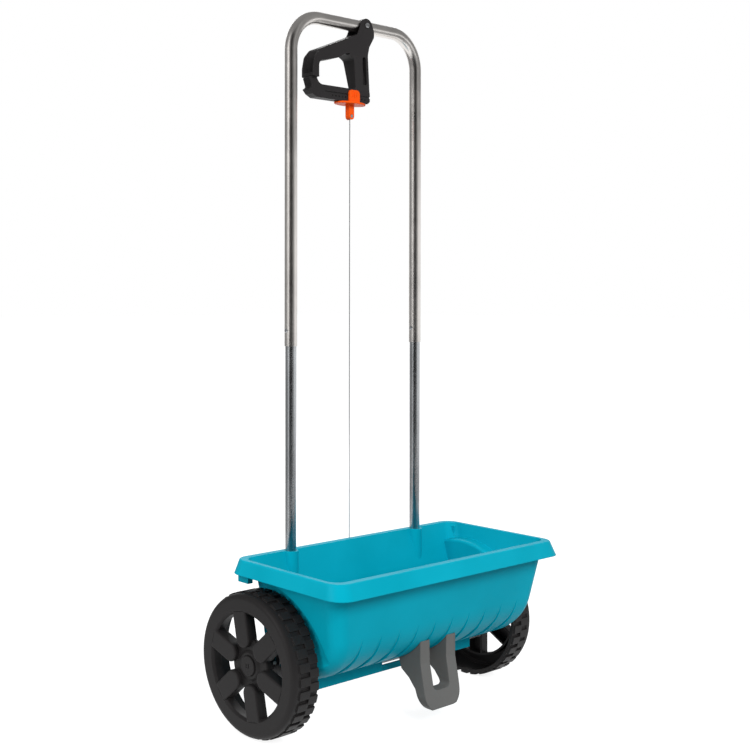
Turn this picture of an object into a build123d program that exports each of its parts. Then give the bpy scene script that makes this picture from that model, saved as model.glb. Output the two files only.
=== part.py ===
from build123d import *
import math
import os

# Drop spreader for lawns: a tub on two wheels, a turning agitator, a hinged shutter
# under the tub and a squeeze lever on the handle that lifts the shutter by a wire.
# X runs along the axle, +Y to the rear where the user walks, +Z up, millimetres.
# Everything is drawn about the axle and moved last, so the origin ends on the
# ground at the middle of the footprint.

# Wheels and axle
wheel_radius = 102.5
axle_radius = 5.0
wheel_width = 46.0
washer_space = 2.4
lug_height = 3.4
lug_count = 34
lug_width = 12.0
tread_wall = 4.5
rim_ring_depth = 25.5
face_thickness = 3.4
spoke_count = 6
spoke_width = 28.0
spoke_inner_radius = 25.0
spoke_depth = 16.5
shoulder_radius = 100.4
shoulder_width = 12.5
shoulder_round = 8.0
window_chamfer = 3.4
pad_round = 2.6
left_wheel_turn = -12.0
right_wheel_turn = 0.0
hub_recess = 8.5
hub_disc_radius = 37.0
hub_boss_radius = 18.0
hub_boss_rise = 2.5
hub_tube_radius = 13.0
cap_radius = 14.4
cap_seat = 1.0
cap_rise = 5.0
cap_slot_half = 3.6
pin_radius = 2.4
running_gap = 0.06
seat_gap = 0.3
seat_slip = 0.02

# Tub
wall = 3.2
tub_height = 168.3
trough_radius = 27.5
front_wall_y = -139.5
front_wall_height = 82.0
front_wall_lean = 8.6
bilge_radius = 70.0
bilge_turn = 31.4
belly_radius = 95.0
belly_turn = 25.0
toe_radius = 60.0
toe_turn = 25.0
floor_front_y = -30.0
rear_break_height = 97.0
rear_break_radius = 60.0
rear_wall_lean = 15.4
end_low_x = 200.0
end_lean = 10.8
corner_round = 22.0
arch_clearance = 13.5
arch_step = 6.0
arch_round = 4.5
rear_tab_width = 9.0
rim_ledge_x = 4.9
rim_ledge_front = 7.95
rim_ledge_rear = 8.6
lip_flare_x = 6.0
lip_flare_front = 10.0
lip_flare_rear = 8.0
lip_depth = 21.3
lip_wall = 2.6
lip_corner = 27.0
pleat_pitch = 37.3
pleat_count = 12
pleat_angle = 3.8
pleat_tip_height = 85.0
outlet_count = 8
outlet_pitch = 44.0
outlet_length = 36.0
outlet_width = 11.0
outlet_y = -15.0

# Skirt under the tub, in front of the shutter
skirt_y = -43.5
skirt_wall = 2.5
skirt_inset_x = 25.0
skirt_drop = 14.0
window_half_x = 28.0
window_height = 5.5
slit_width = 2.6
slit_stop = 3.5

# Handle tubes
tube_x = 137.0
tube_inset = 5.1
lower_tube_radius = 8.3
tube_wall = 0.8
socket_radius = 11.7
socket_low_height = 73.0
socket_floor = 5.0
tube_overlap = 91.2
bow_tube_radius = 9.5
bow_low_z = 548.8
crossbar_z = 1045.2
bow_bend = 55.0
button_height = 23.2
button_radius = 3.0
button_stand_out = 1.4
button_travel = 2.6
socket_screw_height = 125.0
screw_radius = 2.0
screw_head_radius = 4.0
screw_head_height = 2.4

# Squeeze lever on the crossbar
pivot_x = 10.5
lever_half_width = 12.8
cheek_wall = 2.4
core_half_width = 7.5
strut_web = 4.0
pivot_screw_radius = 2.5
squeeze_angle = 15.0
jaw_gap = 20.5
bar_drop = 120.9
bar_depth = 20.3
groove_rise = 8.7
groove_height = 3.0
groove_depth = 1.4

# Dose adjuster on the lever's lower bar
adjuster_offset = 24.0
dose_travel_left = 22.0
dose_travel_right = 14.0
adjuster_tab_width = 23.0
adjuster_tab_wall = 2.6
adjuster_plate_length = 62.0
adjuster_plate_width = 30.0
adjuster_plate_wall = 3.0
adjuster_shank_width = 10.4
adjuster_shank_thickness = 8.8
nipple_drop = 21.3
nipple_radius = 2.6
nipple_length = 9.2

# Shutter, its arm, and the lower end of the wire
sheet = 1.2
shutter_gap = 0.5
shutter_front_y = -38.0
shutter_hem_radius = 1.9
shutter_rear_turn = 72.0
shutter_side_gap = 1.0
cheek_radius = 15.0
arm_reach = 70.0
arm_rest_angle = 14.2
wire_radius = 0.75
wire_low_x = 15.5
wire_lead = 1.04
ear_wall = 1.5
pocket_slack = 1.0
pocket_cavity_y = 11.0
pocket_cavity_z = 17.0
pocket_wall = 1.5
pocket_rise = 4.0
end_nipple_radius = 2.5
end_nipple_length = 8.0
nipple_slack = 1.3
spring_radius = 5.0
spring_wire_radius = 0.7
spring_turns = 7
spring_y = 44.0
spring_top_height = 65.0

# Axle bushes, washers and caps
bush_radius = 9.0
bush_flange_radius = 13.0
bush_flange = 2.4
boss_radius = 14.5
boss_depth = 7.5
bush_stand_out = 2.8
lock_radius = 10.0
lock_wall = 1.0

# Agitator
agitator_hub_radius = 8.0
agitator_radius = 21.0
agitator_fin = 2.4
agitator_fins = 6
agitator_end_gap = 18.0

# Stand at the front
foot_half_x = 38.0
foot_slot_half_x = 19.0
foot_low_z = 26.0
foot_round = 26.0
foot_slot_round = 8.0

# Places that follow from the sizes
axle_z = wheel_radius
floor_z = axle_z - trough_radius
rim_z = floor_z + tub_height
front_wall_z = floor_z + front_wall_height
rear_break_z = floor_z + rear_break_height
pleat_tip_z = floor_z + pleat_tip_height
lip_z = rim_z - lip_depth
skirt_low_z = floor_z - skirt_drop
socket_low_z = floor_z + socket_low_height
socket_screw_z = floor_z + socket_screw_height
spring_top_z = floor_z + spring_top_height
lower_tube_top_z = bow_low_z + tube_overlap
button_z = bow_low_z + button_height
bar_low_z = crossbar_z - bar_drop
bar_top_z = bar_low_z + bar_depth
groove_low_z = bar_low_z + groove_rise
nipple_z = bar_low_z - nipple_drop
adjuster_x = pivot_x - adjuster_offset

arch_radius = wheel_radius + arch_clearance
arch_face_x = end_low_x + arch_step
boss_inner_x = arch_face_x - boss_depth
shutter_half_x = arch_face_x + shutter_side_gap
bush_outer_x = shutter_half_x + sheet + bush_stand_out
wheel_inner_x = bush_outer_x + washer_space
wheel_face_x = wheel_inner_x + wheel_width
agitator_half_x = end_low_x - agitator_end_gap
skirt_half_x = end_low_x - skirt_inset_x
lever_reach = tube_x - bow_tube_radius - jaw_gap + pivot_x

end_top_x = end_low_x + tub_height * math.tan(math.radians(end_lean))
rim_half_x = end_top_x + rim_ledge_x
lip_half_x = rim_half_x + lip_flare_x
front_top_y = front_wall_y - (rim_z - front_wall_z) * math.tan(math.radians(front_wall_lean))
rim_front_y = front_top_y - rim_ledge_front
lip_front_y = rim_front_y - lip_flare_front
rear_bend_y = trough_radius + rear_break_radius * (1 - math.cos(math.radians(rear_wall_lean)))
rear_bend_z = rear_break_z + rear_break_radius * math.sin(math.radians(rear_wall_lean))
rear_top_y = rear_bend_y + (rim_z - rear_bend_z) * math.tan(math.radians(rear_wall_lean))
rim_rear_y = rear_top_y + rim_ledge_rear
lip_rear_y = rim_rear_y + lip_flare_rear
tube_y = rear_top_y - tube_inset
wire_low_y = arm_reach * math.cos(math.radians(arm_rest_angle)) + wire_lead
axle_y_shift = -(lip_front_y + wheel_radius) / 2


def disc_x(radius, x0, x1, y=0.0, z=axle_z):
    """Solid cylinder along X from x0 to x1."""
    start = Plane(origin=(x0, y, z), x_dir=(0, 1, 0), z_dir=(1, 0, 0))
    return extrude(start * Circle(radius), x1 - x0)


def disc_y(radius, y0, y1, x, z):
    """Solid cylinder along Y from y0 to y1."""
    start = Plane(origin=(x, y0, z), x_dir=(1, 0, 0), z_dir=(0, 1, 0))
    return extrude(start * Circle(radius), y1 - y0)


def disc_z(radius, z0, z1, x, y):
    """Solid cylinder along Z from z0 to z1."""
    return extrude(Pos(x, y, z0) * Circle(radius), z1 - z0)


def block(x0, x1, y0, y1, z0, z1):
    """Box between two corners."""
    centre = Pos((x0 + x1) / 2, (y0 + y1) / 2, (z0 + z1) / 2)
    return centre * Box(x1 - x0, y1 - y0, z1 - z0)


def prism_x(face, x0, x1):
    """Extrude a face drawn in (y, z) from x0 to x1."""
    return extrude(Plane.YZ.offset(x0) * face, x1 - x0)


def prism_y(face, y0, y1):
    """Extrude a face drawn in (x, z) from y0 to y1."""
    start = Plane(origin=(0, y1, 0), x_dir=(1, 0, 0), z_dir=(0, -1, 0))
    return extrude(start * face, y1 - y0)


def outline(points):
    """Face inside a closed polyline."""
    return make_face(Polyline(*points, close=True))


def tub_wall_path(inset):
    """Open line of the tub's section, front top to rear top, moved in by inset."""
    lean = math.radians(front_wall_lean)
    over = (rim_z + 8 - front_wall_z) / math.cos(lean)
    foot_of_wall = Vector(front_wall_y + inset * math.cos(lean), front_wall_z + inset * math.sin(lean))
    down = Vector(math.sin(lean), -math.cos(lean))
    front = Line(foot_of_wall - down * over, foot_of_wall)
    bilge = JernArc(front @ 1, front % 1, bilge_radius - inset, bilge_turn)
    belly = JernArc(bilge @ 1, bilge % 1, belly_radius - inset, belly_turn)
    toe_sin = math.sin(math.radians(toe_turn))
    toe_cos = math.cos(math.radians(toe_turn))
    toe_start = Vector(
        floor_front_y - (toe_radius - inset) * toe_sin,
        floor_z + inset + (toe_radius - inset) * (1 - toe_cos),
    )
    slope = Line(belly @ 1, toe_start)
    toe = JernArc(toe_start, (toe_cos, -toe_sin), toe_radius - inset, toe_turn)
    floor = Line(toe @ 1, (0, floor_z + inset))
    hollow = trough_radius - inset
    trough = JernArc((0, floor_z + inset), (1, 0), hollow, 90)
    rise = Line(trough @ 1, (hollow, rear_break_z))
    lean_back = JernArc(rise @ 1, (0, 1), rear_break_radius + inset, -rear_wall_lean)
    top = (rim_z + 8 - (lean_back @ 1).Y) / math.cos(math.radians(rear_wall_lean))
    rear = PolarLine(lean_back @ 1, top, direction=lean_back % 1)
    return [front, bilge, belly, slope, toe, floor, trough, rise, lean_back, rear]


def pleat_tools(inset):
    """Sheared blades that cut the crescent pleats into the lower front wall."""
    path = tub_wall_path(inset)
    lean = math.radians(front_wall_lean)
    tip = path[0] @ 1
    tip = tip + Vector(-math.sin(lean), math.cos(lean)) * (pleat_tip_z - front_wall_z)
    low = path[3] @ 1
    curve = [Line(tip, path[1] @ 0), path[1], path[2], path[3]]
    outside = Polyline(low, low + Vector(-6, -16), tip + Vector(-60, -70), tip + Vector(-16, 2), tip)
    region = make_face(curve + [outside])
    region = Pos(tip.X, tip.Y) * Rot(0, 0, pleat_angle) * Pos(-tip.X, -tip.Y) * region
    depth = math.radians(pleat_angle) * (tip - low).length
    tools = []
    for index in range(pleat_count):
        x = (index - (pleat_count - 1) / 2) * pleat_pitch
        face = Plane.YZ.offset(x) * region
        way = Vector(-pleat_pitch * 0.9, -depth * 0.75, -depth * 0.95)
        tools.append(Solid.extrude(face.faces()[0], way))
    return tools


def tub_block(inset):
    """Solid block with the tub's outer form, or its cavity when inset is the wall."""
    path = tub_wall_path(inset)
    closing = Line(path[-1] @ 1, path[0] @ 0)
    length = end_low_x + 60
    body = prism_x(make_face(path + [closing]), -length, length)
    slope = math.tan(math.radians(end_lean))
    low_x = end_low_x - inset - slope * 30
    high_x = low_x + slope * (rim_z + 40 - floor_z)
    ends = outline([(-low_x, floor_z - 30), (low_x, floor_z - 30), (high_x, rim_z + 10), (-high_x, rim_z + 10)])
    body = body & prism_y(ends, -300, 200)
    front = body.edges().filter_by(
        lambda e: abs(e.tangent_at(0.5).X) < 0.9 and abs(e.center().X) > 150 and e.center().Y < -60
        and e.center().Z < rim_z
    )
    body = fillet(front, corner_round - inset)
    for tool in pleat_tools(inset):
        body = body - tool
    arch_x = arch_face_x - inset
    for side in (-1, 1):
        tool = disc_x(arch_radius + inset, side * arch_x, side * (arch_x + 60))
        body = body - tool
    ridges = body.edges().filter_by(GeomType.CIRCLE).filter_by(
        lambda e: abs(abs(e.center().X) - arch_x) < 0.01 and abs(e.radius - arch_radius - inset) < 0.01
    )
    if inset > 0:
        body = fillet(ridges, arch_round)
    return body


def rounded_plan(half_x, y0, y1, z, radius):
    """Rounded rectangle of the rim at height z."""
    plan = RectangleRounded(2 * half_x, y1 - y0, radius)
    return Pos(0, (y0 + y1) / 2, z) * plan


def rim_ring():
    """Turned-down lip round the top of the tub."""
    outer_low = rounded_plan(lip_half_x, lip_front_y, lip_rear_y, lip_z, lip_corner)
    outer_top = rounded_plan(rim_half_x, rim_front_y, rim_rear_y, rim_z, lip_corner - 5)
    inner_low = rounded_plan(
        lip_half_x - lip_wall, lip_front_y + lip_wall, lip_rear_y - lip_wall, lip_z, lip_corner - lip_wall
    )
    inner_top = rounded_plan(
        rim_half_x - lip_wall, rim_front_y + lip_wall, rim_rear_y - lip_wall,
        rim_z - lip_wall, lip_corner - 5 - lip_wall,
    )
    outer = loft([outer_low, outer_top])
    top_edges = outer.edges().group_by(Axis.Z)[-1]
    outer = fillet(top_edges, 3.0)
    return outer - loft([inner_low, inner_top])


def skirt():
    """Wind guard strip under the front of the floor, with its window and slits."""
    top_z = floor_z + 4
    strip = block(-skirt_half_x, skirt_half_x, skirt_y, skirt_y + skirt_wall, skirt_low_z, top_z)
    window_top = floor_z + 0.6
    window_low = window_top - window_height
    front = skirt_y - 1
    back = skirt_y + skirt_wall + 1
    strip -= block(-window_half_x, window_half_x, front, back, window_low, window_top)
    for side in (-1, 1):
        edge = side * window_half_x
        inner = edge - side * slit_width
        strip -= block(min(edge, inner), max(edge, inner), front, back, skirt_low_z + slit_stop, window_top)
    return strip


def spring_shelf():
    """Shelf on the back of the tub that holds the top of the return spring."""
    back = trough_radius
    middle = arm_x()
    half = spring_radius + 4
    shelf = block(middle - half, middle + half, back - 1, spring_y + spring_radius + 4,
                  spring_top_z, spring_top_z + 3)
    for side in (-1, 1):
        x = middle + side * (half - 1)
        web = outline([
            (back - 1, spring_top_z + 2), (spring_y + spring_radius + 3, spring_top_z + 2),
            (back - 1, spring_top_z + 26),
        ])
        shelf += prism_x(web, x - 1, x + 1)
    guide = spring_radius - spring_wire_radius - 0.6
    shelf += disc_z(guide, spring_top_z - 7, spring_top_z + 1, middle, spring_y)
    return shelf


def hopper():
    """The tub in one moulding: walls, lip, tube sockets, axle bosses, skirt and shelf."""
    body = tub_block(0.0)
    body -= block(-300, 300, -300, 200, rim_z - 1.0, rim_z + 60)
    body += skirt()
    body += spring_shelf()
    body += rim_ring()
    cavity = tub_block(wall)
    body -= cavity
    for side in (-1, 1):
        body += disc_x(boss_radius, side * boss_inner_x, side * arch_face_x)
    for side in (-1, 1):
        x0 = side * (lip_half_x - 12.0)
        x1 = x0 - side * rear_tab_width
        body += block(min(x0, x1), max(x0, x1), tube_y - 12, tube_y + 10, lip_z - 13, rim_z - 6)
    for side in (-1, 1):
        post = disc_z(socket_radius, socket_low_z, rim_z, side * tube_x, tube_y)
        body += post
    for side in (-1, 1):
        seat_z = socket_low_z + socket_floor
        body -= disc_z(lower_tube_radius + 0.05, seat_z, rim_z + 1, side * tube_x, tube_y)
        body -= disc_y(screw_radius + 0.05, tube_y, tube_y + socket_radius + 2, side * tube_x, socket_screw_z)
        body -= disc_x(bush_radius + 0.05, side * (boss_inner_x - 5), side * (arch_face_x + 5))
    for index in range(outlet_count):
        x = (index - (outlet_count - 1) / 2) * outlet_pitch
        hole = Rectangle(outlet_length, outlet_width)
        body -= extrude(Pos(x, outlet_y, floor_z - 5) * hole, wall + 8)
    return body


def wheel(side):
    """Moulded wheel: tread, face ring, six channel spokes and a set-back hub with its boss."""
    face = wheel_width
    tread = wheel_radius - lug_height
    ring = tread - rim_ring_depth
    back = face - spoke_depth
    hub_face = face - hub_recess
    bore = axle_radius + running_gap
    edge = face - shoulder_width
    rim = Polyline(
        (0, tread - tread_wall), (0, tread), (edge, tread), (edge, shoulder_radius), (face, shoulder_radius),
        (face, ring + window_chamfer), (face - window_chamfer, ring), (back, ring),
        (back, ring + face_thickness), (face - face_thickness, ring + face_thickness),
        (face - face_thickness, tread - 8), (face - 8, tread - tread_wall), close=True,
    )
    section = make_face(rim)
    section = fillet(section.vertices().sort_by(lambda v: v.X + v.Y)[-1], shoulder_round)
    body = revolve(section, Axis.X)
    hub = Polyline(
        (0, bore), (0, hub_tube_radius), (back, hub_tube_radius), (back, hub_disc_radius),
        (hub_face - 1.5, hub_disc_radius), (hub_face, hub_disc_radius - 1.5), (hub_face, hub_boss_radius + 4),
        (hub_face + hub_boss_rise, hub_boss_radius), (hub_face + hub_boss_rise, cap_radius + seat_slip),
        (hub_face - cap_seat, cap_radius + seat_slip), (hub_face - cap_seat, bore), close=True,
    )
    body += revolve(make_face(hub), Axis.X)
    spoke = spoke_channel(ring, face)
    turn = left_wheel_turn if side < 0 else right_wheel_turn
    for index in range(spoke_count):
        body += spoke.rotate(Axis.X, turn + index * 360 / spoke_count)
    body -= disc_x(cap_radius + seat_slip, hub_face - cap_seat, face + 1, 0, 0)
    body += lug_ring(1.0, edge / 2 + 0.5, 180 / lug_count, tread)
    body += lug_ring(edge / 2 - 0.5, edge + 1.0, 0.0, tread)
    if side < 0:
        reach = hub_tube_radius + 1
        body -= block(-1, 2 * pin_radius + 0.4, -reach, reach, -pin_radius - 0.1, pin_radius + 0.1)
        body = mirror(body, Plane.YZ)
    return Pos(side * wheel_inner_x, 0, axle_z) * body


def spoke_channel(ring, face):
    """One spoke along +Z: a flat pad with a rounded inner end and walls going inward."""
    half = spoke_width / 2
    inner = spoke_inner_radius + half
    length = ring + 2 - inner
    start = Plane(origin=(face - spoke_depth, 0, 0), x_dir=(0, 1, 0), z_dir=(1, 0, 0))
    pad = Pos(0, inner + length / 2) * Rectangle(spoke_width, length) + Pos(0, inner) * Circle(half)
    room = half - face_thickness
    pocket = Pos(0, inner + length / 2) * Rectangle(2 * room, length + 2) + Pos(0, inner) * Circle(room)
    solid = extrude(start * pad, spoke_depth)
    rounded = solid.edges().filter_by(GeomType.CIRCLE).sort_by(Axis.X)[-1]
    straight = solid.edges().filter_by(Axis.Z).sort_by(Axis.X)[-2:]
    solid = fillet(ShapeList([rounded]) + straight, pad_round)
    return solid - extrude(start * pocket, spoke_depth - face_thickness)


def lug_ring(x0, x1, turn, tread):
    """Row of flat-topped lugs round the tread between x0 and x1."""
    start = Plane(origin=(x0, 0, 0), x_dir=(0, 1, 0), z_dir=(1, 0, 0))
    teeth = Circle(tread - 0.2) - Circle(tread - tread_wall)
    height = lug_height + 2
    lug = Pos(wheel_radius - height / 2, 0) * Rectangle(height, lug_width)
    for index in range(lug_count):
        teeth += Rot(0, 0, turn + index * 360 / lug_count) * lug
    return extrude(start * (teeth & Circle(wheel_radius)), x1 - x0)


def hub_cap(side):
    """Round cap with two coin slots, pressed into the wheel's boss."""
    low = wheel_face_x - hub_recess - cap_seat
    high = wheel_face_x - hub_recess + cap_rise
    cap = disc_x(cap_radius, low, high, 0, 0)
    cap = fillet(cap.edges().filter_by(GeomType.CIRCLE).sort_by(Axis.X)[-1], 1.6)
    cap -= disc_x(lock_radius + 0.8, low - 1, high - 2.6, 0, 0)
    for y in (-2.4, 2.4):
        cap -= block(high - 1.2, high + 1, y - 0.8, y + 0.8, -cap_slot_half, cap_slot_half)
    if side < 0:
        cap = mirror(cap, Plane.YZ)
    return Pos(0, 0, axle_z) * cap


def axle():
    """Steel axle through both bushes, with the cross hole for the drive pin."""
    half = wheel_face_x - hub_recess + cap_rise - 3.2
    rod = disc_x(axle_radius, -half, half)
    ends = rod.edges().filter_by(GeomType.CIRCLE)
    rod = chamfer(ends, 0.6)
    pin_x = -(wheel_inner_x + pin_radius)
    return rod - disc_y(pin_radius, -axle_radius - 1, axle_radius + 1, pin_x, axle_z)


def drive_pin():
    """Cross pin that turns the axle with the left wheel."""
    reach = hub_tube_radius - 0.6
    return disc_y(pin_radius, -reach, reach, -(wheel_inner_x + pin_radius), axle_z)


def axle_locks():
    """Spring washers that hold the wheels on the axle ends."""
    locks = []
    for side in (-1, 1):
        x0 = wheel_face_x - hub_recess - cap_seat + seat_gap
        ring = disc_x(lock_radius, side * x0, side * (x0 + lock_wall))
        locks.append(ring - disc_x(axle_radius, side * (x0 - 1), side * (x0 + 3)))
    return locks


def axle_washers():
    """Flat washers between the bushes and the wheel hubs."""
    washers = []
    for side in (-1, 1):
        ring = disc_x(11.5, side * (bush_outer_x + seat_gap), side * (wheel_inner_x - seat_gap))
        washers.append(ring - disc_x(axle_radius, side * (bush_outer_x - 1), side * (wheel_inner_x + 1)))
    return washers


def agitator():
    """Finned sleeve on the axle that keeps the load moving over the outlets."""
    star = Circle(agitator_hub_radius)
    for index in range(agitator_fins):
        fin = Pos((agitator_radius + 4) / 2, 0) * Rectangle(agitator_radius - 4, agitator_fin)
        star += Rot(0, 0, index * 360 / agitator_fins) * fin
    star -= Circle(axle_radius + 0.02)
    start = Plane(origin=(-agitator_half_x, 0, axle_z), x_dir=(0, 1, 0), z_dir=(1, 0, 0))
    roller = extrude(start * star, 2 * agitator_half_x)
    notch_gap = 2 * agitator_half_x / 11
    for index in range(10):
        x = -agitator_half_x + (index + 1) * notch_gap
        ring = disc_x(agitator_radius + 2, x - 3, x + 3) - disc_x(agitator_hub_radius + 3, x - 4, x + 4)
        roller -= ring
    return roller


def axle_bush(side):
    """Plastic bush in the tub's end wall; the shutter hangs on its outer sleeve."""
    sleeve = disc_x(bush_radius, side * boss_inner_x, side * bush_outer_x)
    sleeve += disc_x(bush_flange_radius, side * (boss_inner_x - bush_flange), side * boss_inner_x)
    inner = side * (boss_inner_x - bush_flange - 1)
    return sleeve - disc_x(axle_radius + running_gap, inner, side * (bush_outer_x + 1))


def lower_tube(side):
    """Lower handle tube, set in the tub's socket and pushed into the bow above."""
    x = side * tube_x
    z0 = socket_low_z + socket_floor
    tube = disc_z(lower_tube_radius, z0, lower_tube_top_z, x, tube_y)
    tube -= disc_z(lower_tube_radius - tube_wall, z0 - 1, lower_tube_top_z + 1, x, tube_y)
    tube -= disc_x(button_radius + 0.15, x - lower_tube_radius - 2, x, tube_y, button_z)
    tube -= disc_y(screw_radius + 0.05, tube_y, tube_y + lower_tube_radius + 2, x, socket_screw_z)
    return tube


def handle_bow():
    """Upper bow: two legs and the crossbar bent from one steel tube."""
    path = FilletPolyline(
        (-tube_x, tube_y, bow_low_z), (-tube_x, tube_y, crossbar_z), (tube_x, tube_y, crossbar_z),
        (tube_x, tube_y, bow_low_z), radius=bow_bend,
    )
    ring = Circle(bow_tube_radius) - Circle(lower_tube_radius + 0.1)
    bow = sweep(Plane(origin=(-tube_x, tube_y, bow_low_z), z_dir=(0, 0, 1)) * ring, path=path)
    for side in (-1, 1):
        x = side * tube_x
        bow -= disc_x(button_radius + 0.15, x - bow_tube_radius - 2, x, tube_y, button_z)
    reach = bow_tube_radius + 2
    bow -= disc_y(pivot_screw_radius + 0.1, tube_y - reach, tube_y + reach, pivot_x, crossbar_z)
    return bow


def spring_button(side):
    """Snap button on its bent leaf inside the lower tube."""
    x = side * tube_x
    tip = x - bow_tube_radius - button_stand_out
    inside = lower_tube_radius - tube_wall
    stem = disc_x(button_radius, tip, x - inside + 2.2, tube_y, button_z)
    rim = stem.edges().filter_by(GeomType.CIRCLE).sort_by(Axis.X)[0]
    stem = fillet(rim, 1.2)
    leaf = block(x - inside + 1.6, x - inside + 2.4, tube_y - 2.2, tube_y + 2.2, button_z - 24, button_z + 6)
    return stem + leaf


def socket_screws():
    """Screws through the sockets into the lower tubes."""
    screws = []
    for side in (-1, 1):
        x = side * tube_x
        seat = tube_y + socket_radius
        screw = disc_y(screw_radius, tube_y + 5.2, seat, x, socket_screw_z)
        head = disc_y(screw_head_radius, seat, seat + screw_head_height, x, socket_screw_z)
        head = fillet(head.edges().filter_by(GeomType.CIRCLE).sort_by(Axis.Y)[-1], 1.0)
        screws.append(screw + head)
    return screws


def rounded_outline(corners):
    """Face inside a closed polyline whose corners are (x, y, radius)."""
    face = outline([(x, y) for x, y, radius in corners])
    for x, y, radius in corners:
        if radius > 0:
            corner = face.vertices().sort_by_distance((x, y, 0))[0]
            face = fillet(corner, radius)
    return face


def about_pivot(corners):
    """Corners given from the lever's pivot, moved to the tub's coordinates."""
    return [(pivot_x + x, crossbar_z + z, radius) for x, z, radius in corners]


def lever_outlines():
    """Cheek outline, finger hole and narrow lower frame of the squeeze lever."""
    jaw = -lever_reach
    head = Pos(pivot_x, crossbar_z - 1.5) * Circle(12.2)
    arm = rounded_outline(about_pivot([
        (-11.9, 0, 0), (-19, -16, 8), (-28, -20, 10), (jaw + 18.5, -48, 12), (jaw + 7.5, -60, 10),
        (jaw + 3.7, -78, 12), (jaw + 3.7, -90.5, 1.5), (jaw + 17.5, -91, 0), (jaw + 25.5, -70, 0),
        (-30, -44, 0), (3, -46, 0), (6, -33, 10),
        (16.5, -17, 8), (16.5, -8, 4), (11.5, 4, 0),
    ]))
    floor = bar_top_z - crossbar_z
    hole = rounded_outline(about_pivot([
        (jaw + 15.7, -66, 9), (jaw + 15.7, floor, 13), (-18.6, floor, 3), (-26.5, -55, 9), (-42, -46.5, 12),
        (-60, -57, 14), (jaw + 29.5, -64, 8),
    ]))
    low = bar_low_z - crossbar_z
    frame = rounded_outline(about_pivot([
        (jaw + 9.5, -86, 0), (jaw + 1, -93, 2), (jaw + 6, -106, 3), (jaw, -110, 1), (jaw + 6.5, -116.5, 3),
        (jaw + 16.5, low, 5), (8, low, 2), (12.8, low + 4, 2), (12.8, low + 15, 5), (3, -50, 0), (3, -44, 0),
        (-30, -40, 0), (jaw + 27.5, -58, 0),
    ]))
    return head + arm, hole, frame


def lever_strut():
    """Strut from the head to the lower bar, as wide as the cheeks above and the bar below."""
    side_view = rounded_outline(about_pivot([
        (-38, -40, 0), (3, -40, 0), (3, -50, 0), (12.8, -106, 0), (12.8, -112, 0), (-28, -112, 0),
    ]))
    top = crossbar_z - 50
    low = bar_top_z
    wide = lever_half_width
    slim = core_half_width
    taper = outline([
        (tube_y - wide, top + 20), (tube_y - wide, top), (tube_y - slim, low), (tube_y - slim, low - 20),
        (tube_y + slim, low - 20), (tube_y + slim, low), (tube_y + wide, top), (tube_y + wide, top + 20),
    ])
    return prism_y(side_view, tube_y - wide, tube_y + wide) & prism_x(taper, pivot_x - 60, pivot_x + 30)


def channel_outline():
    """Room between the cheeks that takes the crossbar through the whole squeeze."""
    reach = 140.0
    half = bow_tube_radius + 0.6
    swept = Pos(pivot_x, crossbar_z) * Circle(half)
    for angle in (0.0, squeeze_angle):
        turn = math.radians(180 + angle)
        along = Vector(math.cos(turn), math.sin(turn))
        across = Vector(-along.Y, along.X) * half
        start = Vector(pivot_x, crossbar_z)
        end = start + along * reach
        swept += outline([tuple(start + across)[:2], tuple(end + across)[:2], tuple(end - across)[:2],
                          tuple(start - across)[:2]])
    low = math.radians(180 + squeeze_angle)
    wedge = outline([
        (pivot_x, crossbar_z), (pivot_x - reach, crossbar_z + 30),
        (pivot_x + reach * math.cos(low), crossbar_z + reach * math.sin(low)),
    ])
    right = outline([
        (pivot_x, crossbar_z + half), (pivot_x + 60, crossbar_z + half),
        (pivot_x + 60, crossbar_z - half - 1), (pivot_x, crossbar_z - half - 1),
    ])
    tilt = Pos(pivot_x, crossbar_z) * Rot(0, 0, squeeze_angle) * Pos(-pivot_x, -crossbar_z) * right
    return swept + wedge + right + tilt


def lever():
    """Squeeze lever: two cheeks astride the crossbar, an open grip channel and a lower bar."""
    full, hole, frame = lever_outlines()
    y0 = tube_y - lever_half_width
    y1 = tube_y + lever_half_width
    body = prism_y(full, y0, y1)
    slim = (tube_y - core_half_width, tube_y + core_half_width)
    body += prism_y(frame, *slim)
    body += lever_strut()
    body -= prism_y(hole, y0 - 1, y1 + 1)
    inner = (y0 + cheek_wall, y1 - cheek_wall)
    body -= prism_y(channel_outline(), *inner)
    end = pivot_x - lever_reach
    grip = outline([
        (end + 18.5, crossbar_z - 40), (end + 13, crossbar_z - 60), (end + 12, crossbar_z - 84),
        (end - 2.5, crossbar_z - 86), (end - 7.5, crossbar_z - 50),
    ])
    body -= prism_y(grip, *inner)
    body -= disc_y(pivot_screw_radius + running_gap, y0 - 1, y1 + 1, pivot_x, crossbar_z)
    for side in (-1, 1):
        face = tube_y + side * core_half_width
        inside = face - side * groove_depth
        body -= block(end + 33.5, pivot_x + 20, min(face, inside), max(face, inside),
                      groove_low_z, groove_low_z + groove_height)
    pocket = rounded_outline(about_pivot([(-9, -50, 2.5), (-2, -50, 2.5), (5.5, -92, 2.5), (-4, -92, 2.5)]))
    for side in (-1, 1):
        near = tube_y + side * strut_web
        far = tube_y + side * (lever_half_width + 1)
        body -= prism_y(pocket, min(near, far), max(near, far))
    return body


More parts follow.
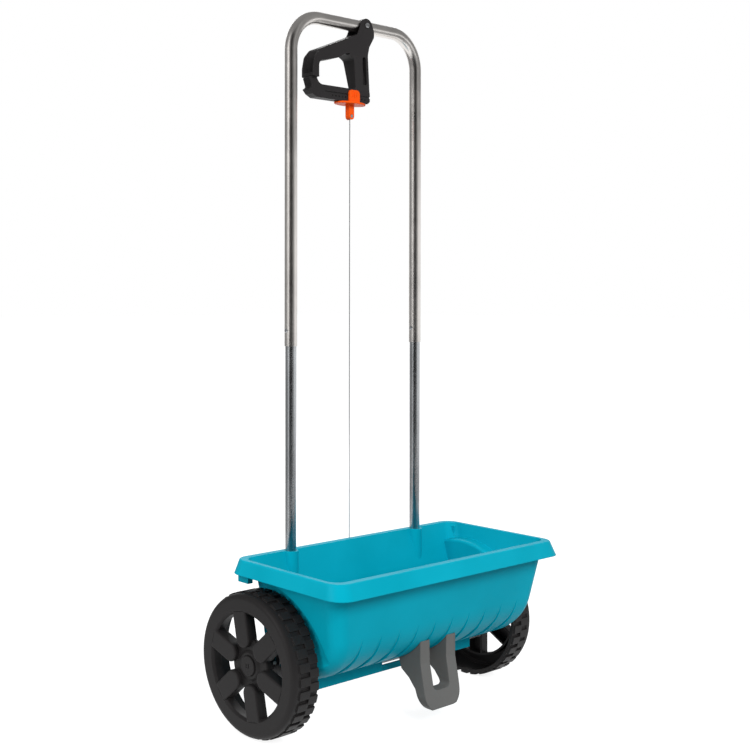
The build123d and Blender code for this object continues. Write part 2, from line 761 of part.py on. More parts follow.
def pivot_screw():
    """Screw that carries the lever, through both cheeks and the crossbar."""
    front = tube_y - lever_half_width - seat_gap
    rear = tube_y + lever_half_width + 5.0
    screw = disc_y(pivot_screw_radius, front, rear, pivot_x, crossbar_z)
    head = disc_y(screw_head_radius, front - 2.6, front, pivot_x, crossbar_z)
    head = fillet(head.edges().filter_by(GeomType.CIRCLE).sort_by(Axis.Y)[0], 1.2)
    head -= block(pivot_x - 2.4, pivot_x + 2.4, front - 3, front - 1.4, crossbar_z - 0.5, crossbar_z + 0.5)
    head -= block(pivot_x - 0.5, pivot_x + 0.5, front - 3, front - 1.4, crossbar_z - 2.4, crossbar_z + 2.4)
    return screw + head


def pivot_nut():
    """Lock nut behind the lever."""
    y0 = tube_y + lever_half_width + seat_gap
    start = Plane(origin=(pivot_x, y0, crossbar_z), x_dir=(1, 0, 0), z_dir=(0, 1, 0))
    return extrude(start * (RegularPolygon(4.6, 6) - Circle(pivot_screw_radius)), 4.0)


def dose_adjuster():
    """Orange slider: saddle round the bar, finger plate, and the eye for the wire nipple."""
    x = adjuster_x
    half = adjuster_tab_width / 2
    plate_top = bar_low_z - seat_gap
    plate_low = plate_top - adjuster_plate_wall
    plate = Pos(x, tube_y, plate_low) * Ellipse(adjuster_plate_length / 2, adjuster_plate_width / 2)
    body = extrude(plate, adjuster_plate_wall)
    body = fillet(body.edges(), 1.0)
    front_in = tube_y - core_half_width - seat_gap
    front_out = front_in - adjuster_tab_wall
    back_in = tube_y + core_half_width + seat_gap
    back_out = back_in + adjuster_tab_wall
    for y0, y1, top in ((front_out, front_in, bar_low_z + 18.2), (back_in, back_out, bar_low_z + 15.2)):
        tab = Pos(x, (plate_low + top) / 2) * Rectangle(adjuster_tab_width, top - plate_low)
        corners = tab.vertices().group_by(Axis.Y)[-1]
        tab = fillet(corners, 6.0)
        body += prism_y(tab, y0, y1)
    lip = groove_depth - seat_gap
    low = groove_low_z + seat_gap
    high = groove_low_z + groove_height - seat_gap
    body += block(x - half + 3, x + half - 3, front_in - 0.5, front_in + seat_gap + lip, low, high)
    body += block(x - half + 3, x + half - 3, back_in - seat_gap - lip, back_in + 0.5, low, high)
    for rib in (x - 4.0, x, x + 4.0):
        body += block(rib - 0.7, rib + 0.7, front_out - 0.9, front_out + 0.2, bar_low_z + 7.7, bar_low_z + 15.7)
    shank_low = nipple_z - adjuster_shank_width / 2
    shank_top = plate_low + 0.5
    shank = Pos(x, (nipple_z + shank_top) / 2) * Rectangle(adjuster_shank_width, shank_top - nipple_z)
    shank += Pos(x, nipple_z) * Circle(adjuster_shank_width / 2)
    y0 = tube_y - adjuster_shank_thickness / 2
    y1 = tube_y + adjuster_shank_thickness / 2
    body += prism_y(shank, y0, y1)
    body -= disc_y(nipple_radius + running_gap, y0 - 1, y1 + 1, x, nipple_z)
    gate = outline([
        (x - 1.2, nipple_z), (x - 5.5, shank_low - 2), (x + 5.5, shank_low - 2), (x + 1.2, nipple_z),
    ])
    body -= prism_y(gate, tube_y - 2.0, tube_y + 2.0)
    return body


def wire_nipple():
    """Cross nipple that turns in the adjuster's eye and carries the top of the wire."""
    half = nipple_length / 2
    body = disc_y(nipple_radius, tube_y - half, tube_y + half, adjuster_x, nipple_z)
    return body - wire_rod(wire_radius, 2.0)


def arm_x():
    """Middle of the shutter's arm, under the middle of the slider's travel."""
    return wire_low_x + (dose_travel_right - dose_travel_left) / 2


def pocket_half_x():
    """Half the pocket's width: the lower nipple follows the slider along X."""
    return (dose_travel_left + dose_travel_right) / 2 + end_nipple_radius + pocket_slack


def wire_ends():
    """Top and bottom points of the straight wire."""
    top = Vector(adjuster_x, tube_y, nipple_z)
    low = Vector(wire_low_x, wire_low_y, end_nipple_z())
    return top, low


def eye_z():
    """Height of the pocket's hinge at rest."""
    return axle_z - arm_reach * math.sin(math.radians(arm_rest_angle))


def eye_y():
    """Reach of the pocket's hinge at rest."""
    return arm_reach * math.cos(math.radians(arm_rest_angle))


def end_nipple_z():
    """Height of the lower nipple's axis at rest, under the pocket's roof."""
    return eye_z() + pocket_rise - nipple_slack - end_nipple_radius


def wire_rod(radius, longer):
    """Rod on the wire's line, longer at both ends by a given length."""
    top, low = wire_ends()
    along = (low - top).normalized()
    start = Plane(origin=top - along * longer, z_dir=along)
    return extrude(start * Circle(radius), (low - top).length + 2 * longer)


def pull_wire():
    """Straight steel wire with its lower cross nipple."""
    wire = wire_rod(wire_radius, 1.2)
    z = end_nipple_z()
    half = end_nipple_length / 2
    return wire + disc_y(end_nipple_radius, wire_low_y - half, wire_low_y + half, wire_low_x, z)


def wire_pocket():
    """Wide plastic stirrup at the end of the shutter's arm; the lower nipple hangs in it."""
    middle = arm_x()
    room = pocket_half_x()
    half_y = pocket_cavity_y / 2
    y = eye_y()
    roof = eye_z() + pocket_rise
    low = roof - pocket_cavity_z
    wide = room + pocket_wall
    deep = half_y + pocket_wall
    body = block(middle - wide, middle + wide, y - deep, y + deep, low, roof + pocket_wall)
    body = fillet(body.edges().filter_by(Axis.Z), 1.2)
    body -= block(middle - room, middle + room, y - half_y, y + half_y, low - 1, roof)
    slot = room - end_nipple_radius + wire_radius
    body -= block(middle - slot, middle + slot, y - 2.7, y + 2.0, roof - 1, roof + 4)
    for side in (-1, 1):
        inner = middle + side * (room + 0.2)
        outer = middle + side * (wide + seat_gap + ear_wall + 0.4)
        body += disc_x(2.6, inner, outer, y, eye_z())
    return body


def shutter():
    """Sheet shutter under the floor, hung on the bushes, with the arm for the wire."""
    top_z = floor_z - shutter_gap
    low_z = top_z - sheet
    inner = axle_z - top_z
    turn = math.radians(shutter_rear_turn)
    outer = inner + sheet
    edge_in = (inner * math.sin(turn), axle_z - inner * math.cos(turn))
    edge_out = (outer * math.sin(turn), axle_z - outer * math.cos(turn))
    profile = [
        Line((shutter_front_y, top_z), (0, top_z)),
        JernArc((0, top_z), (1, 0), inner, shutter_rear_turn),
        Line(edge_in, edge_out),
        JernArc((0, low_z), (1, 0), outer, shutter_rear_turn),
        Line((0, low_z), (shutter_front_y, low_z)),
        Line((shutter_front_y, low_z), (shutter_front_y, top_z)),
    ]
    body = prism_x(make_face(profile), -shutter_half_x, shutter_half_x)
    hem_z = top_z - shutter_hem_radius
    body += disc_x(shutter_hem_radius, -shutter_half_x, shutter_half_x, shutter_front_y, hem_z)
    cheek = outline([
        (shutter_front_y, top_z - 2 * shutter_hem_radius), (shutter_front_y, top_z),
        (-cheek_radius, axle_z - 6), (-cheek_radius + 3, axle_z + 6), (cheek_radius - 3, axle_z + 6),
        (edge_in[0] - 1, edge_in[1]), edge_out,
        (outer * 0.75, axle_z - outer * 0.66), (outer * 0.4, axle_z - outer * 0.915), (0, low_z),
    ])
    cheek += Pos(0, axle_z) * Circle(cheek_radius)
    for side in (-1, 1):
        x0 = side * shutter_half_x
        x1 = side * (shutter_half_x + sheet)
        plate = prism_x(cheek, min(x0, x1), max(x0, x1))
        body += plate
    for side in (-1, 1):
        body -= disc_x(bush_radius + running_gap, side * (shutter_half_x - 1), side * (shutter_half_x + 3))
    return body + shutter_arm(edge_out)


def shutter_arm(edge):
    """Folded arm from the shutter's rear edge to the wire pocket."""
    inner_half = pocket_half_x() + pocket_wall + seat_gap
    middle = arm_x()
    reach = eye_y()
    low = eye_z()
    root_y = edge[0] - 0.8
    ear = outline([
        (root_y, edge[1] - 13), (root_y, edge[1] + 0.5), (spring_y + 12, low + 9), (reach, low + 6.2),
        (reach + 5, low + 3.5), (reach + 5, low - 3.5), (reach, low - 6.2), (spring_y + 6, low - 4),
    ])
    body = None
    for side in (-1, 1):
        x0 = middle + side * inner_half
        x1 = x0 + side * ear_wall
        plate = prism_x(ear, min(x0, x1), max(x0, x1))
        plate -= disc_x(2.66, x0 - side, x1 + side, reach, low)
        body = plate if body is None else body + plate
    seat_z = low + 4.0
    seat_end = spring_y + spring_radius + 1.5
    seat = outline([(root_y, seat_z), (seat_end, seat_z), (seat_end, seat_z + sheet), (root_y, seat_z + sheet)])
    half = inner_half + ear_wall
    return body + prism_x(seat, middle - half, middle + half)


def return_spring():
    """Coil spring between the shelf and the arm that swings the shutter shut."""
    low = eye_z() + 4.0 + sheet + seat_gap + spring_wire_radius
    high = spring_top_z - seat_gap - spring_wire_radius
    coil = Helix(pitch=(high - low) / spring_turns, height=high - low, radius=spring_radius)
    start = Plane(origin=coil @ 0, z_dir=coil % 0)
    wire = sweep(start * Circle(spring_wire_radius), path=coil, is_frenet=True)
    return Pos(arm_x(), spring_y, low) * wire


def foot():
    """Stand under the front wall: two legs joined at the sole, with a hook behind."""
    tilt = math.tan(math.radians(12.5))
    toe = front_wall_y
    side_view = outline([
        (toe + 39.5, floor_z + 75), (toe + 12.0, floor_z + 75), (toe + 12.0, floor_z + 20),
        (toe + 3.7, floor_z - 23), (toe + 1.3, foot_low_z + 12), (toe, foot_low_z + 6.5 * tilt + 2),
        (toe + 2.5, foot_low_z + 4 * tilt), (toe + 12.0, foot_low_z - 5.5 * tilt), (toe + 14.0, foot_low_z + 4),
        (toe + 22.0, floor_z - 19), (toe + 34.0, floor_z - 5), (toe + 48.5, floor_z + 5),
        (toe + 52.5, floor_z + 17), (toe + 52.5, floor_z + 45),
    ])
    low = foot_low_z - 1.5
    top = floor_z + 67
    front = outline([
        (-foot_half_x, top), (foot_half_x, top), (foot_half_x, foot_low_z + 34), (foot_half_x - 1.5, low),
        (-foot_half_x + 1.5, low), (-foot_half_x, foot_low_z + 34),
    ])
    front = fillet(front.vertices().group_by(Axis.Y)[0], foot_round)
    slot_low = foot_low_z + 27.5
    slot = outline([
        (-foot_slot_half_x, top + 9), (foot_slot_half_x, top + 9), (foot_slot_half_x - 1.5, slot_low),
        (1.5 - foot_slot_half_x, slot_low),
    ])
    slot = fillet(slot.vertices().group_by(Axis.Y)[0], foot_slot_round)
    body = prism_x(side_view, -foot_half_x, foot_half_x) & prism_y(front, -200, 0)
    body -= prism_y(slot, -200, 0)
    body += foot_tongue()
    return body - tub_clearance()


def foot_tongue():
    """Strap behind the legs that follows the floor and hooks into the skirt's window."""
    root = front_wall_y + 43.5
    hook = skirt_y + skirt_wall - 1.0
    strap = outline([
        (root, floor_z + 5), (root + 6, floor_z + 15), (skirt_y - 12.5, floor_z + 4),
        (skirt_y - 0.4, floor_z + 0.2), (hook, floor_z + 0.2), (hook, floor_z - 2.6),
        (skirt_y - 0.4, floor_z - 2.6), (skirt_y - 14.5, floor_z - 0.5),
    ])
    body = prism_x(strap, 12.0, 26.0)
    bridge = outline([
        (root, floor_z + 5), (root + 6, floor_z + 7), (root + 8, floor_z + 17), (root, floor_z + 24),
    ])
    body += prism_x(bridge, -foot_slot_half_x - 1, foot_slot_half_x + 8)
    return body


def tub_clearance():
    """The tub's outer form, a little larger, for pieces that sit against it."""
    path = tub_wall_path(-0.15)
    closing = Line(path[-1] @ 1, path[0] @ 0)
    return prism_x(make_face(path + [closing]), -120, 120)


def export(name, shape):
    """Move one sub-part to the object's frame and write its file."""
    solids = shape if isinstance(shape, list) else [shape]
    moved = [Pos(0, axle_y_shift, 0) * solid for solid in solids]
    result = moved[0] if len(moved) == 1 else Compound(children=moved)
    export_step(result, f"parts/{name}.step")


def main():
    os.makedirs("parts", exist_ok=True)
    export("hopper", hopper())
    for side, label in ((-1, "left"), (1, "right")):
        export(f"wheel_{label}", wheel(side))
        export(f"hub_cap_{label}", hub_cap(side))
        export(f"axle_bush_{label}", axle_bush(side))
        export(f"lower_tube_{label}", lower_tube(side))
        export(f"spring_button_{label}", spring_button(side))
    export("axle", axle())
    export("drive_pin", drive_pin())
    export("axle_locks", axle_locks())
    export("axle_washers", axle_washers())
    export("agitator", agitator())
    export("handle_bow", handle_bow())
    export("socket_screws", socket_screws())
    export("squeeze_lever", lever())
    export("pivot_screw", pivot_screw())
    export("pivot_nut", pivot_nut())
    export("dose_adjuster", dose_adjuster())
    export("wire_nipple", wire_nipple())
    export("pull_wire", pull_wire())
    export("wire_pocket", wire_pocket())
    export("shutter", shutter())
    export("return_spring", return_spring())
    export("foot", foot())


main()
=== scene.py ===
import math

import bpy
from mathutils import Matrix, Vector

# Drop spreader for lawns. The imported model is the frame, and this script adds the
# camera, the studio and the finishes. Metres, X along the axle, +Z up.

MM = 0.001

# Camera

AXLE_Y = 34.0 * MM
CAMERA_PLACE = (-1.3138, -1.2480 + AXLE_Y, 0.6217)
CAMERA_TILT = 90 - 0.53
CAMERA_TURN = -37.96
CAMERA_LENS = 55.906
CAMERA_SHIFT = (0.2333, -0.0893)

# Studio

WORLD_COLOUR = (0.97, 0.98, 1.0, 1)
WORLD_LIGHT = 0.4
FLOOR_SIZE = 60
FLOOR_DROP = -0.3 * MM
FLOOR_TONE = 0.4
FLOOR_LIFT = 0.87

# name, place, aim, (width, height), power in watts, shown in glossy finishes
LAMPS = [
    ("key", (-1.3, -3.0, 2.5), (0, 0, 0.4), (1.5, 1.5), 104, False),
    ("side", (-2.8, 0.2, 1.5), (0, 0, 0.4), (1.2, 1.8), 30, True),
    ("rear", (1.8, 2.2, 2.4), (0, 0, 0.5), (1.6, 1.6), 34, True),
]

# Boards stand round the spreader, at an angle in degrees to the left of the camera.
TO_CAMERA = Vector((-0.615, -0.788, 0))
TO_CAMERA_LEFT = Vector((-0.788, 0.615, 0))
BOARD_RANGE = 1.15

# name, angle, width, tone, lowest and highest edge
UPRIGHT_BOARDS = [
    ("dark_board_front", 14.5, 1.46, 0.02, 0.0, 2.2),
    ("grey_board_right", -27, 0.36, 0.14, 0.0, 2.2),
    ("pale_board_right", -46, 0.41, 0.42, 0.0, 2.2),
    ("grey_board_high", -93, 1.74, 0.28, 1.0, 2.3),
    ("pale_board_left", 54, 0.3, 0.7, 0.0, 2.2),
    ("grey_board_left", 105, 2.3, 0.28, 0.0, 2.2),
]

# name, place, way it faces, side, tone
LEVEL_BOARDS = [
    ("grey_board_top", (0, 0, 2.35), Vector((0, 0, -1)), 5, 0.26),
    ("grey_mat_right", (1.3, -1.5, 0.004), Vector((0, 0, 1)), 2.2, 0.3),
]

# Dose scale: a row of sunk dots on the front of the lever's lower bar, painted dark inside as
# painted shade

DOT_PITCH = 7.0 * MM
DOT_RADIUS = 1.5 * MM
DOT_FLOOR = 0.55 * DOT_RADIUS
DOT_FIRST = -58.0 * MM
DOT_LAST = 12.0 * MM
DOT_HEIGHT = 930.2 * MM
DOT_DEPTH = 1.2 * MM
DOT_PAINTED_SHADE = (0.001, 0.001, 0.001, 1)
BAR_MIDDLE_Y = 70.0 * MM

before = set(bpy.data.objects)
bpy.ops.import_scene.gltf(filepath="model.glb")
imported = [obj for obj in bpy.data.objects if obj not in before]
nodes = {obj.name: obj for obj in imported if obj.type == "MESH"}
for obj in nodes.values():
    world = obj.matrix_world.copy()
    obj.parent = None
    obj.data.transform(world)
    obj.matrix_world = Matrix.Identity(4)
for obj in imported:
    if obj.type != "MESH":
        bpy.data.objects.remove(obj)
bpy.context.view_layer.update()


# Node helpers


def new_material(name):
    """Material with its tree and its Principled shader."""
    material = bpy.data.materials.new(name)
    material.use_nodes = True
    tree = material.node_tree
    return material, tree, tree.nodes["Principled BSDF"]


def math_node(tree, operation, first, second):
    node = tree.nodes.new("ShaderNodeMath")
    node.operation = operation
    for socket, value in ((node.inputs[0], first), (node.inputs[1], second)):
        if isinstance(value, (int, float)):
            socket.default_value = value
        else:
            tree.links.new(value, socket)
    return node.outputs[0]


def noise_node(tree, vector, scale, detail, rough=0.5):
    node = tree.nodes.new("ShaderNodeTexNoise")
    node.inputs["Detail"].default_value = detail
    node.inputs["Roughness"].default_value = rough
    tree.links.new(vector, node.inputs["Vector"])
    if isinstance(scale, (int, float)):
        node.inputs["Scale"].default_value = scale
    else:
        tree.links.new(scale, node.inputs["Scale"])
    return node.outputs["Fac"]


def bump_node(tree, height, normal, strength, distance):
    bump = tree.nodes.new("ShaderNodeBump")
    bump.inputs["Strength"].default_value = strength
    bump.inputs["Distance"].default_value = distance
    tree.links.new(height, bump.inputs["Height"])
    tree.links.new(normal, bump.inputs["Normal"])
    return bump


def blend_node(tree, factor, base, over):
    """Colour that goes from the socket base to the plain colour over."""
    node = tree.nodes.new("ShaderNodeMix")
    node.data_type = "RGBA"
    node.inputs["B"].default_value = over
    tree.links.new(factor, node.inputs["Factor"])
    tree.links.new(base, node.inputs["A"])
    return node.outputs["Result"]


def ramp(tree, fac, stops):
    node = tree.nodes.new("ShaderNodeValToRGB")
    points = node.color_ramp.elements
    while len(points) < len(stops):
        points.new(0.5)
    for point, (at, colour) in zip(points, stops):
        point.position = at
        point.color = (*colour, 1)
    tree.links.new(fac, node.inputs["Fac"])
    return node.outputs["Color"]


def spread(tree, fac, low, high):
    """Value that runs from low to high as fac runs from 0 to 1."""
    node = tree.nodes.new("ShaderNodeMapRange")
    node.inputs["To Min"].default_value = low
    node.inputs["To Max"].default_value = high
    tree.links.new(fac, node.inputs["Value"])
    return node.outputs["Result"]


# Camera, floor and light


def set_camera():
    data = bpy.data.cameras.new("view")
    camera = bpy.data.objects.new("view", data)
    bpy.context.scene.collection.objects.link(camera)
    camera.location = CAMERA_PLACE
    camera.rotation_euler = (math.radians(CAMERA_TILT), 0, math.radians(CAMERA_TURN))
    data.sensor_width = 36
    data.lens = CAMERA_LENS
    data.shift_x, data.shift_y = CAMERA_SHIFT
    data.clip_end = FLOOR_SIZE
    bpy.context.scene.camera = camera


def background_rays(tree):
    """1 for rays from the camera, from a mirror finish or through glass, else 0."""
    path = tree.nodes.new("ShaderNodeLightPath")
    seen = math_node(tree, "MAXIMUM", path.outputs["Is Camera Ray"], path.outputs["Is Glossy Ray"])
    return math_node(tree, "MAXIMUM", seen, path.outputs["Is Transmission Ray"])


def set_world():
    """Soft even light, with plain white where the background itself is seen."""
    world = bpy.data.worlds.new("studio")
    bpy.context.scene.world = world
    world.use_nodes = True
    tree = world.node_tree
    light = tree.nodes["Background"]
    light.inputs["Color"].default_value = WORLD_COLOUR
    light.inputs["Strength"].default_value = WORLD_LIGHT
    white = tree.nodes.new("ShaderNodeBackground")
    white.inputs["Color"].default_value = (1, 1, 1, 1)
    mix = tree.nodes.new("ShaderNodeMixShader")
    tree.links.new(background_rays(tree), mix.inputs["Fac"])
    tree.links.new(light.outputs[0], mix.inputs[1])
    tree.links.new(white.outputs[0], mix.inputs[2])
    tree.links.new(mix.outputs[0], tree.nodes["World Output"].inputs["Surface"])


def pale_floor():
    """Matt floor that reads as plain white and still takes the shadow."""
    material, tree, shade = new_material("pale_floor")
    shade.inputs["Base Color"].default_value = (FLOOR_TONE, FLOOR_TONE, FLOOR_TONE, 1)
    shade.inputs["Roughness"].default_value = 0.9
    shade.inputs["Specular IOR Level"].default_value = 0.0
    shade.inputs["Emission Color"].default_value = (1, 1, 1, 1)
    lift = math_node(tree, "MULTIPLY", background_rays(tree), FLOOR_LIFT)
    tree.links.new(lift, shade.inputs["Emission Strength"])
    return material


def set_floor():
    bpy.ops.mesh.primitive_plane_add(size=FLOOR_SIZE, location=(0, 0, FLOOR_DROP))
    floor = bpy.context.object
    floor.name = "floor"
    floor.data.materials.append(pale_floor())


def set_lamp(name, place, aim, size, power, mirrored):
    data = bpy.data.lights.new(name, "AREA")
    data.shape = "RECTANGLE"
    data.size, data.size_y = size
    data.energy = power
    lamp = bpy.data.objects.new(name, data)
    bpy.context.scene.collection.objects.link(lamp)
    lamp.location = place
    lamp.rotation_euler = (Vector(aim) - Vector(place)).to_track_quat("-Z", "Y").to_euler()
    lamp.visible_glossy = mirrored


def board_shade(name, tone):
    material, tree, shade = new_material(name)
    shade.inputs["Base Color"].default_value = (0, 0, 0, 1)
    shade.inputs["Specular IOR Level"].default_value = 0.0
    shade.inputs["Emission Color"].default_value = (tone, tone, tone, 1)
    shade.inputs["Emission Strength"].default_value = 1.0
    return material


def hang_board(name, place, facing, width, height, tone):
    """Studio board that only a glossy finish shows."""
    bpy.ops.mesh.primitive_plane_add(size=1, location=place)
    board = bpy.context.object
    board.name = name
    board.scale = (width, height, 1)
    board.rotation_euler = facing.to_track_quat("Z", "Y").to_euler()
    board.data.materials.append(board_shade(name, tone))
    board.visible_camera = False
    board.visible_diffuse = False
    board.visible_shadow = False
    board.visible_transmission = False


def stand_board(name, angle, width, tone, low, high):
    """Upright board that faces the spreader."""
    turn = math.radians(angle)
    middle = (TO_CAMERA * math.cos(turn) + TO_CAMERA_LEFT * math.sin(turn)) * BOARD_RANGE
    middle.z = (low + high) / 2
    hang_board(name, middle, Vector((-middle.x, -middle.y, 0)), width, high - low, tone)


def set_studio():
    set_camera()
    set_world()
    set_floor()
    for lamp in LAMPS:
        set_lamp(*lamp)
    for board in UPRIGHT_BOARDS:
        stand_board(*board)
    for name, place, facing, side, tone in LEVEL_BOARDS:
        hang_board(name, place, facing, side, side, tone)
    bpy.context.scene.view_settings.view_transform = "Standard"


# Surface effects that several finishes share


def new_group(name, takes, gives):
    """Empty node group with named inputs (name, kind, value) and outputs (name, kind)."""
    group = bpy.data.node_groups.new(name, "ShaderNodeTree")
    for label, kind, value in takes:
        socket = group.interface.new_socket(label, in_out="INPUT", socket_type=kind)
        socket.default_value = value
    for label, kind in gives:
        group.interface.new_socket(label, in_out="OUTPUT", socket_type=kind)
    entry = group.nodes.new("NodeGroupInput")
    leave = group.nodes.new("NodeGroupOutput")
    return group, entry, leave


def soft_edge_group():
    """Normal with edges rounded over a radius, and a mask of where the edges are."""
    takes = [("Radius", "NodeSocketFloat", 0.8 * MM)]
    gives = [("Normal", "NodeSocketVector"), ("Edge", "NodeSocketFloat")]
    group, entry, leave = new_group("soft_edges", takes, gives)
    bevel = group.nodes.new("ShaderNodeBevel")
    bevel.samples = 6
    group.links.new(entry.outputs["Radius"], bevel.inputs["Radius"])
    facing = group.nodes.new("ShaderNodeNewGeometry")
    dot = group.nodes.new("ShaderNodeVectorMath")
    dot.operation = "DOT_PRODUCT"
    group.links.new(bevel.outputs["Normal"], dot.inputs[0])
    group.links.new(facing.outputs["Normal"], dot.inputs[1])
    turned = math_node(group, "SUBTRACT", 1.0, dot.outputs["Value"])
    edge = group.nodes.new("ShaderNodeMapRange")
    edge.inputs["From Min"].default_value = 0.02
    edge.inputs["From Max"].default_value = 0.25
    group.links.new(turned, edge.inputs["Value"])
    group.links.new(bevel.outputs["Normal"], leave.inputs["Normal"])
    group.links.new(edge.outputs["Result"], leave.inputs["Edge"])
    return group


def mould_grain_group():
    """Fine grain of a moulded surface, with slow flow marks."""
    takes = [("Vector", "NodeSocketVector", (0, 0, 0)), ("Scale", "NodeSocketFloat", 1800.0)]
    gives = [("Height", "NodeSocketFloat"), ("Flow", "NodeSocketFloat")]
    group, entry, leave = new_group("mould_grain", takes, gives)
    place = entry.outputs["Vector"]
    grain = noise_node(group, place, entry.outputs["Scale"], 2.0, 0.6)
    flow = noise_node(group, place, 9.0, 3.0)
    group.links.new(grain, leave.inputs["Height"])
    group.links.new(flow, leave.inputs["Flow"])
    return group


def drawn_lines_group():
    """Faint lines of drawn or rolled steel along Z, and a slow change of tone."""
    takes = [("Vector", "NodeSocketVector", (0, 0, 0)), ("Along", "NodeSocketFloat", 6.0)]
    gives = [("Height", "NodeSocketFloat"), ("Tone", "NodeSocketFloat")]
    group, entry, leave = new_group("drawn_lines", takes, gives)
    scales = group.nodes.new("ShaderNodeCombineXYZ")
    scales.inputs["X"].default_value = 900
    scales.inputs["Y"].default_value = 900
    group.links.new(entry.outputs["Along"], scales.inputs["Z"])
    stretch = group.nodes.new("ShaderNodeVectorMath")
    stretch.operation = "MULTIPLY"
    group.links.new(entry.outputs["Vector"], stretch.inputs[0])
    group.links.new(scales.outputs[0], stretch.inputs[1])
    lines = noise_node(group, stretch.outputs[0], 1.0, 2.0)
    tone = noise_node(group, entry.outputs["Vector"], 22.0, 4.0, 0.6)
    group.links.new(lines, leave.inputs["Height"])
    group.links.new(tone, leave.inputs["Tone"])
    return group


def dose_dots_group():
    """Mask of the row of dots along the front of the lever's lower bar."""
    takes = [("Vector", "NodeSocketVector", (0, 0, 0))]
    gives = [("Dot", "NodeSocketFloat")]
    group, entry, leave = new_group("dose_dots", takes, gives)
    place = group.nodes.new("ShaderNodeSeparateXYZ")
    group.links.new(entry.outputs["Vector"], place.inputs[0])
    x, y, z = place.outputs["X"], place.outputs["Y"], place.outputs["Z"]
    steps = math_node(group, "DIVIDE", math_node(group, "SUBTRACT", x, DOT_FIRST), DOT_PITCH)
    nearest = math_node(group, "ROUND", steps, 0.0)
    across = math_node(group, "MULTIPLY", math_node(group, "SUBTRACT", steps, nearest), DOT_PITCH)
    up = math_node(group, "SUBTRACT", z, DOT_HEIGHT)
    across_square = math_node(group, "POWER", across, 2.0)
    up_square = math_node(group, "POWER", up, 2.0)
    away = math_node(group, "SQRT", math_node(group, "ADD", across_square, up_square), 0.0)
    sunk = group.nodes.new("ShaderNodeMapRange")
    sunk.interpolation_type = "SMOOTHSTEP"
    sunk.inputs["From Min"].default_value = DOT_RADIUS
    sunk.inputs["From Max"].default_value = DOT_FLOOR
    group.links.new(away, sunk.inputs["Value"])
    after = math_node(group, "GREATER_THAN", x, DOT_FIRST - DOT_PITCH / 2)
    before = math_node(group, "LESS_THAN", x, DOT_LAST + DOT_PITCH / 2)
    front = math_node(group, "LESS_THAN", y, BAR_MIDDLE_Y)
    in_row = math_node(group, "MULTIPLY", math_node(group, "MULTIPLY", after, before), front)
    dot = math_node(group, "MULTIPLY", sunk.outputs["Result"], in_row)
    group.links.new(dot, leave.inputs["Dot"])
    return group


SOFT_EDGES = soft_edge_group()
MOULD_GRAIN = mould_grain_group()
DRAWN_LINES = drawn_lines_group()
DOSE_DOTS = dose_dots_group()


def place_group(tree, group, values):
    node = tree.nodes.new("ShaderNodeGroup")
    node.node_tree = group
    for label, value in values.items():
        node.inputs[label].default_value = value
    return node


def on_object(tree, group, values):
    """Group placed in a finish, with its Vector from the piece's own place."""
    where = tree.nodes.new("ShaderNodeTexCoord")
    node = place_group(tree, group, values)
    tree.links.new(where.outputs["Object"], node.inputs["Vector"])
    return node


def shaded(colour, factor, lift=0.0):
    return tuple(min(1, c * factor + lift) for c in colour)


# Finishes


def moulded(name, colour, rough, specular, grain_scale, grain_depth, edge, edge_highlight):
    """Moulded plastic: grain, slow flow marks, and edges made paler as a painted highlight."""
    material, tree, shade = new_material(name)
    shade.inputs["Specular IOR Level"].default_value = specular
    grain = on_object(tree, MOULD_GRAIN, {"Scale": grain_scale})
    soft = place_group(tree, SOFT_EDGES, {"Radius": edge})
    flow = grain.outputs["Flow"]
    stops = [(0.3, shaded(colour, 0.93)), (0.7, shaded(colour, 1.06, 0.002))]
    # Painted highlight: the edges are made paler, standing in for the gloss that catches them.
    highlight_mask = math_node(tree, "MULTIPLY", soft.outputs["Edge"], 0.5)
    pale = (*shaded(colour, edge_highlight, 0.003), 1)
    highlit_colour = blend_node(tree, highlight_mask, ramp(tree, flow, stops), pale)
    tree.links.new(highlit_colour, shade.inputs["Base Color"])
    tree.links.new(spread(tree, flow, rough - 0.05, rough + 0.06), shade.inputs["Roughness"])
    bump = bump_node(tree, grain.outputs["Height"], soft.outputs["Normal"], 0.5, grain_depth)
    tree.links.new(bump.outputs["Normal"], shade.inputs["Normal"])
    return material


def steel(name, colour, rough):
    """Plated steel with a slow change of tone. Gives also its drawn lines."""
    material, tree, shade = new_material(name)
    shade.inputs["Metallic"].default_value = 1.0
    lines = on_object(tree, DRAWN_LINES, {})
    tone = lines.outputs["Tone"]
    stops = [(0.35, shaded(colour, 0.9)), (0.65, shaded(colour, 1.05))]
    tree.links.new(ramp(tree, tone, stops), shade.inputs["Base Color"])
    tree.links.new(spread(tree, tone, rough - 0.04, rough + 0.07), shade.inputs["Roughness"])
    return material, lines


def lined_steel(name, colour, rough, line_depth, along):
    """Steel with lines in its surface, and softened edges."""
    material, lines = steel(name, colour, rough)
    lines.inputs["Along"].default_value = along
    tree = material.node_tree
    soft = place_group(tree, SOFT_EDGES, {"Radius": 0.3 * MM})
    bump = bump_node(tree, lines.outputs["Height"], soft.outputs["Normal"], 0.4, line_depth)
    tree.links.new(bump.outputs["Normal"], tree.nodes["Principled BSDF"].inputs["Normal"])
    return material


def mark_dots(material):
    """Sinks the dots of the dose scale into a moulded finish, and paints them dark as painted
    shade in their hollows.
    """
    tree = material.node_tree
    shade = tree.nodes["Principled BSDF"]
    dot = on_object(tree, DOSE_DOTS, {}).outputs["Dot"]
    colour = shade.inputs["Base Color"].links[0].from_socket
    normal = shade.inputs["Normal"].links[0].from_socket
    # Painted shade: the inside of each dot is made near black.
    tree.links.new(blend_node(tree, dot, colour, DOT_PAINTED_SHADE), shade.inputs["Base Color"])
    bump = bump_node(tree, dot, normal, 1.0, DOT_DEPTH)
    bump.invert = True
    tree.links.new(bump.outputs["Normal"], shade.inputs["Normal"])


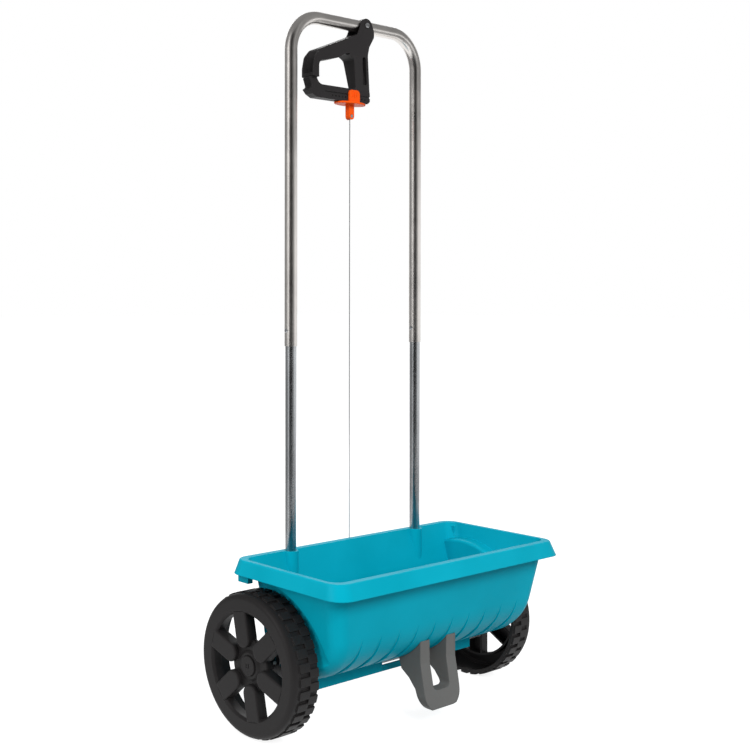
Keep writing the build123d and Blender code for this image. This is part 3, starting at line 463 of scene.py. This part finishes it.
TUB_BLUE = moulded(
    "tub_blue", (0.0, 0.39, 0.525), rough=0.44, specular=0.05,
    grain_scale=1400.0, grain_depth=0.06 * MM, edge=1.4 * MM, edge_highlight=1.5,
)
WHEEL_BLACK = moulded(
    "wheel_black", (0.0145, 0.0133, 0.0135), rough=0.5, specular=0.18,
    grain_scale=1600.0, grain_depth=0.08 * MM, edge=1.4 * MM, edge_highlight=3.0,
)
LEVER_BLACK = moulded(
    "lever_black", (0.023, 0.021, 0.0215), rough=0.46, specular=0.22,
    grain_scale=2200.0, grain_depth=0.05 * MM, edge=1.0 * MM, edge_highlight=2.6,
)
STAND_GREY = moulded(
    "stand_grey", (0.155, 0.155, 0.15), rough=0.5, specular=0.1,
    grain_scale=1600.0, grain_depth=0.06 * MM, edge=2.0 * MM, edge_highlight=1.12,
)
SLIDER_ORANGE = moulded(
    "slider_orange", (0.95, 0.1, 0.004), rough=0.36, specular=0.12,
    grain_scale=2200.0, grain_depth=0.03 * MM, edge=0.6 * MM, edge_highlight=1.12,
)
BOW_STEEL = steel("bow_steel", (0.74, 0.71, 0.68), rough=0.28)[0]
# Painted shade: the lower tubes' steel is darker than the bow's because those tubes sit in the
# shade.
TUBE_STEEL_PAINTED_SHADE = steel("tube_steel_painted_shade", (0.5, 0.515, 0.53), rough=0.24)[0]
ZINC = lined_steel(
    "zinc", (0.62, 0.63, 0.64), rough=0.3, line_depth=0.02 * MM, along=300.0,
)
SHEET_STEEL = lined_steel(
    "sheet_steel", (0.45, 0.45, 0.46), rough=0.42, line_depth=0.03 * MM, along=20.0,
)

mark_dots(LEVER_BLACK)

# The small steel pieces that aren't named here are zinc plated.
FINISHES = {
    "hopper": TUB_BLUE,
    "foot": STAND_GREY,
    "wheel_left": WHEEL_BLACK,
    "wheel_right": WHEEL_BLACK,
    "hub_cap_left": WHEEL_BLACK,
    "hub_cap_right": WHEEL_BLACK,
    "axle_bush_left": LEVER_BLACK,
    "axle_bush_right": LEVER_BLACK,
    "agitator": SLIDER_ORANGE,
    "squeeze_lever": LEVER_BLACK,
    "dose_adjuster": SLIDER_ORANGE,
    "wire_pocket": LEVER_BLACK,
    "handle_bow": BOW_STEEL,
    "lower_tube_left": TUBE_STEEL_PAINTED_SHADE,
    "lower_tube_right": TUBE_STEEL_PAINTED_SHADE,
    "spring_button_left": TUBE_STEEL_PAINTED_SHADE,
    "spring_button_right": TUBE_STEEL_PAINTED_SHADE,
    "shutter": SHEET_STEEL,
}


def dress_nodes():
    for name, part in nodes.items():
        finish = FINISHES.get(name, ZINC)
        if not part.material_slots:
            part.data.materials.append(finish)
        for slot in part.material_slots:
            slot.material = finish


set_studio()
dress_nodes()
